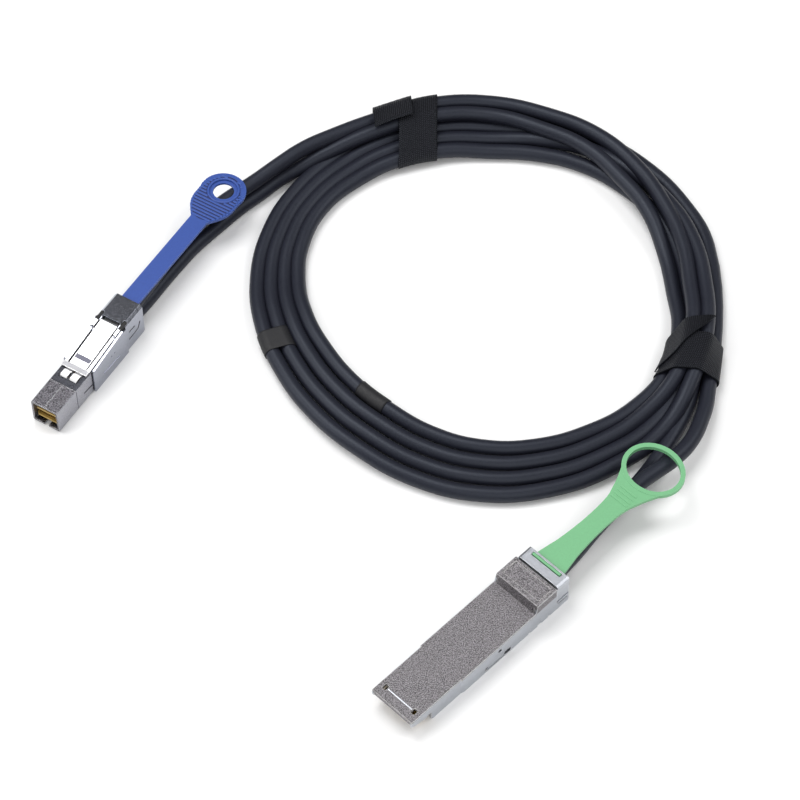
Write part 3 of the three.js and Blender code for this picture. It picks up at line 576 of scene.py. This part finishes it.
# Woven loop cloth: fine crossing threads.
def cloth_material():
    m, nodes, links, shader = material("tie_cloth", (0.005, 0.005, 0.007), 0.5)
    where = nodes.new("ShaderNodeUVMap")
    both = nodes.new("ShaderNodeMath")
    both.operation = "MULTIPLY"
    for slot, rotation in enumerate((0, 90)):
        turn = nodes.new("ShaderNodeMapping")
        turn.inputs["Rotation"].default_value[2] = math.radians(rotation)
        links.new(where.outputs["UV"], turn.inputs["Vector"])
        wave = nodes.new("ShaderNodeTexWave")
        wave.inputs["Scale"].default_value = 0.45
        wave.inputs["Distortion"].default_value = 0.6
        links.new(turn.outputs["Vector"], wave.inputs["Vector"])
        links.new(wave.outputs["Fac"], both.inputs[slot])
    height = both.outputs["Value"]
    links.new(ramp(nodes, links, height, [(0.2, (0.002, 0.002, 0.003)), (0.9, (0.05, 0.05, 0.062))]),
              shader.inputs["Base Color"])
    shader.inputs["Specular IOR Level"].default_value = 0.25
    shader.inputs["Specular Tint"].default_value = BLUISH
    edge_and_bump(nodes, links, shader, height, 1.0, 0.0004, 0)
    return m


CLOTH = cloth_material()

# The finish of every node of the construction.
WEARERS = (
    (BRIGHT, ("qsfp_base_shell", "qsfp_latch_slider")),
    (DIE_CAST, ("qsfp_cover_shell",)),
    (LAMINATE, ("qsfp_paddle_card", "sas_card_upper", "sas_card_lower")),
    (WIRE, ("qsfp_spring_left", "qsfp_spring_right", "qsfp_screw_left", "qsfp_screw_right", "sas_latch_pin",
            "sas_latch_spring")),
    (GREEN, ("qsfp_pull_tab",)),
    (BLUE, ("sas_pull_tab",)),
    (FERRULE, ("qsfp_ferrule_upper", "qsfp_ferrule_lower", "sas_ferrule_upper", "sas_ferrule_lower")),
    (RESIN_AND_SHADE, ("qsfp_wire_block", "sas_card_spacer", "sas_wire_block")),
    (NOSE, ("sas_nose_shell",)),
    (MIRROR, ("sas_body_base", "sas_rear_shell")),
    (STEEL, ("sas_latch_cover", "sas_latch_plate")),
    (JACKET, ("cable_coil", "sas_lead_upper", "sas_lead_lower", "qsfp_lead_upper", "qsfp_lead_lower")),
    (CLOTH, ("tie_top", "tie_right")),
    (BAND, ("band_left", "band_inner")),
)
for finish, node_names in WEARERS:
    for node_name in node_names:
        part = bpy.data.objects[node_name]
        part.data.materials.clear()
        part.data.materials.append(finish)

for finish, pieces in ((JACKET, (cable_a, cable_b)), (CLOTH, TIES), (BAND, BANDS)):
    for piece in pieces:
        piece.data.materials.append(finish)


# Upper skin of the wide plug: the plate with its two square holes and the head with its sunk top.
def wide_cover():
    front, shoulder, foot, back = 0.05, 22.2, 56.6, 66.4
    nose, half, hole_y, hole_half = 8.8, 9.2, 6.35, 0.7
    head_low, head_high, lean = 8.3, 12.3, 0.6
    plate = bmesh.new()
    prism(plate, [(front, -nose), (shoulder, -nose), (shoulder, -half), (foot + lean, -half), (foot + lean, half),
                  (shoulder, half), (shoulder, nose), (front, nose)], "z", 7.9, 8.53)
    holes = bmesh.new()
    for middle in (hole_y, -hole_y):
        box(holes, 2.8, 4.7, middle - hole_half, middle + hole_half, 7, 9)
    finish_part("wide_plate", less(plate, holes), QSFP, 0.16, "cable", DIE_CAST)
    head = bmesh.new()
    prism(head, [(foot - 0.1, head_low), (foot + lean, head_high), (back, head_high), (back, head_low)], "y",
          -half, half)
    bmesh.ops.recalc_face_normals(head, faces=head.faces[:])
    top = [f for f in head.faces if f.normal.z > 0.9]
    bmesh.ops.inset_region(head, faces=top, thickness=1.15, use_even_offset=True)
    bmesh.ops.inset_region(head, faces=top, thickness=0.3, depth=-0.4, use_even_offset=True)
    finish_part("wide_head", head, QSFP, 0.2, "cable", DIE_CAST)
    bar = bmesh.new()
    box(bar, 3.5, 4.0, -5.3, 5.3, 8.4, 8.68)
    finish_part("wide_plate_bar", bar, QSFP, 0.1, "cable", BRIGHT)


wide_cover()


# The head of the blue tab: an oval with an eye, whose top falls gently towards its end.
HEAD_X, HEAD_LONG, HEAD_WIDE = 105.7, 12.2, 8.0
EYE_X, EYE_Y = 110.1, -0.2


def tab_top(x):
    return 12.5 + 0.575 - 0.016 * (x - 51)


# Ribs across the head, stopping at its outline and at the rim of the eye.
def blue_ribs():
    bm = bmesh.new()
    rim, margin, half, pitch, shortest = 6.1, 0.4, 0.38, 1.35, 0.6
    x = 95.6
    while x < 117:
        reach = HEAD_WIDE * math.sqrt(max(0, 1 - ((x - HEAD_X) / HEAD_LONG) ** 2)) - margin
        gap = math.sqrt(max(0, rim * rim - (x - EYE_X) ** 2))
        z = tab_top(x)
        spans = [(-reach, reach)] if gap == 0 else [(-reach, EYE_Y - gap), (EYE_Y + gap, reach)]
        for y0, y1 in spans:
            if y1 - y0 > shortest:
                box(bm, x - half, x + half, y0, y1, z - 0.15, z + 0.22)
        x += pitch
    finish_part("blue_head_ribs", bm, SAS, 0.12, "sas_release", BLUE, segments=1)


# Dark sheet between the ribs, painted shade for the grooves, sheared so that it follows the top.
def blue_grooves():
    floor = bmesh.new()
    prism(floor, circle(HEAD_X, 0, HEAD_LONG - 1.2, 64, HEAD_WIDE - 0.7), "z", 12.08, 12.27)
    hole = bmesh.new()
    prism(hole, circle(EYE_X, EYE_Y, 5.4, 48), "z", 11, 13)
    floor = less(floor, hole)
    bmesh.ops.translate(floor, verts=floor.verts[:], vec=(0, 0, -12.2))
    for vert in floor.verts:
        vert.co.z += tab_top(vert.co.x)
    finish_part("blue_head_grooves", floor, SAS, 0, "sas_release", BLUE_GROOVE_SHADE)


# Round rim of the eye.
def blue_rim():
    ring = bmesh.new()
    turned = bmesh.ops.create_circle(ring, segments=20, radius=0.45)["verts"]
    bmesh.ops.scale(ring, vec=(1, 0.9, 1), verts=turned)
    bmesh.ops.rotate(ring, verts=turned, cent=(0, 0, 0), matrix=Matrix.Rotation(math.radians(90), 3, "X"))
    bmesh.ops.translate(ring, verts=turned, vec=(5.45, 0, 0))
    bmesh.ops.spin(ring, geom=ring.verts[:] + ring.edges[:], cent=(0, 0, 0), axis=(0, 0, 1), angle=math.tau,
                   steps=64, use_merge=True)
    bmesh.ops.translate(ring, verts=ring.verts[:], vec=(EYE_X, EYE_Y, 12.13))
    piece = finish_part("blue_eye_rim", ring, SAS, 0, "sas_release", BLUE)
    for face in piece.data.polygons:
        face.use_smooth = True


blue_ribs()
blue_grooves()
blue_rim()


# Dark caps at the rear of the tall plug's rails.
def rail_caps():
    bm = bmesh.new()
    for sign in (1, -1):
        y0, y1 = sorted((sign * 3.95, sign * 5.3))
        prism(bm, [(38.2, 12.9), (38.4, 13.9), (42.2, 14.1), (42.2, 12.9)], "y", y0, y1)
    finish_part("rail_caps", bm, SAS, 0.15, "cable", RESIN_AND_SHADE)


rail_caps()


# Frame of the latch: the lip over the hooks' arms and a rail with a small round hole on each side of the leaf.
def latch_frame():
    front, back, low, high = 19.6, 38.4, 10.75, 11.5
    bm = bmesh.new()
    for sign in (1, -1):
        y0, y1 = sorted((sign * 3.85, sign * 5.15))
        rail = bmesh.new()
        prism(rail, [(front, low), (back, 13.3), (back, 14.0), (front, high)], "y", y0, y1)
        hole = bmesh.new()
        prism(hole, circle(35.1, sign * 4.4, 0.5, 16), "z", 10, 16)
        pierced = less(rail, hole)
        data = bpy.data.meshes.new("rail")
        pierced.to_mesh(data)
        pierced.free()
        bm.from_mesh(data)
    box(bm, 17.5, front + 0.2, -5.0, 5.0, low, high)
    # The frame takes the darker copy of the steel: painted shade on the rails.
    finish_part("latch_frame", bm, SAS, 0.12, "cable", STEEL_SHADED, replaces=("sas_latch_cover",))


latch_frame()


# Crease across the front of the leaf, where the sheet is bent down.
def leaf_crease():
    bm = bmesh.new()
    prism(bm, [(22.3, 11.27), (24.1, 11.52), (24.1, 11.81), (22.3, 11.56)], "y", -3.1, 3.1)
    finish_part("leaf_crease", bm, SAS, 0, "sas_latch", SHADE)


leaf_crease()


# Floors of the slits pressed in both flanks of the rear shell, painted dark: painted shade in the slits.
def slit_floors():
    hook = [(42.4, 4.8), (47.5, 5.15), (48.95, 7.8), (48.45, 7.85), (47.15, 5.65), (42.4, 5.35)]
    bm = bmesh.new()
    for sign in (1, -1):
        y0, y1 = sorted((sign * 5.26, sign * 5.50))
        box(bm, 42.35, 45.55, y0, y1, 8.35, 8.95)
        prism(bm, hook, "y", y0, y1)
    finish_part("rear_slit_floor_shade", bm, SAS, 0, "cable", RESIN_AND_SHADE)


slit_floors()


# Rows of gold fingers on both faces of each card, at its front edge.
def fingers(name, plug, faces, x0, x1, pitch, count):
    half, proud = pitch * 0.32, 0.03
    bm = bmesh.new()
    for z in faces:
        for k in range(count):
            y = (k - (count - 1) / 2) * pitch
            box(bm, x0, x1, y - half, y + half, z - proud, z + proud)
    finish_part(name, bm, plug, 0, "cable", GOLD)


fingers("wide_card_fingers", QSFP, (3.9, 4.9), 4.2, 7.6, 0.8, 19)
fingers("tall_card_fingers", SAS, (2.8, 3.6, 6.4, 7.2), 1.8, 5.0, 0.75, 11)


# Floor, sky and lamps.
def stage_floor():
    data = bpy.data.meshes.new("floor")
    bm = bmesh.new()
    bmesh.ops.create_grid(bm, x_segments=1, y_segments=1, size=3)
    bm.to_mesh(data)
    bm.free()
    floor = link(bpy.data.objects.new("floor", data))
    data.materials.append(material("floor", (0.93, 0.93, 0.93), 0.95)[0])


# A soft box that looks at the middle of the part.
def lamp(name, where, size, energy):
    light = bpy.data.lights.new(name, "AREA")
    light.energy = energy
    light.size = size
    obj = link(bpy.data.objects.new(name, light))
    obj.location = where
    obj.rotation_euler = (-Vector(where)).to_track_quat("-Z", "Y").to_euler()


def sky():
    world = bpy.data.worlds.new("world")
    bpy.context.scene.world = world
    world.use_nodes = True
    back = world.node_tree.nodes["Background"]
    back.inputs["Color"].default_value = (1, 1, 1, 1)
    back.inputs["Strength"].default_value = 0.16


stage_floor()
sky()
lamp("key", (-0.3, 0.3, 1.1), 0.62, 8)
lamp("front", (0.2, -1.0, 0.9), 1.2, 8)
lamp("left", (-1.0, 0.0, 0.7), 0.8, 6)
lamp("right", (0.9, 0.3, 1.0), 0.8, 6)
bpy.context.scene.view_settings.view_transform = "Standard"
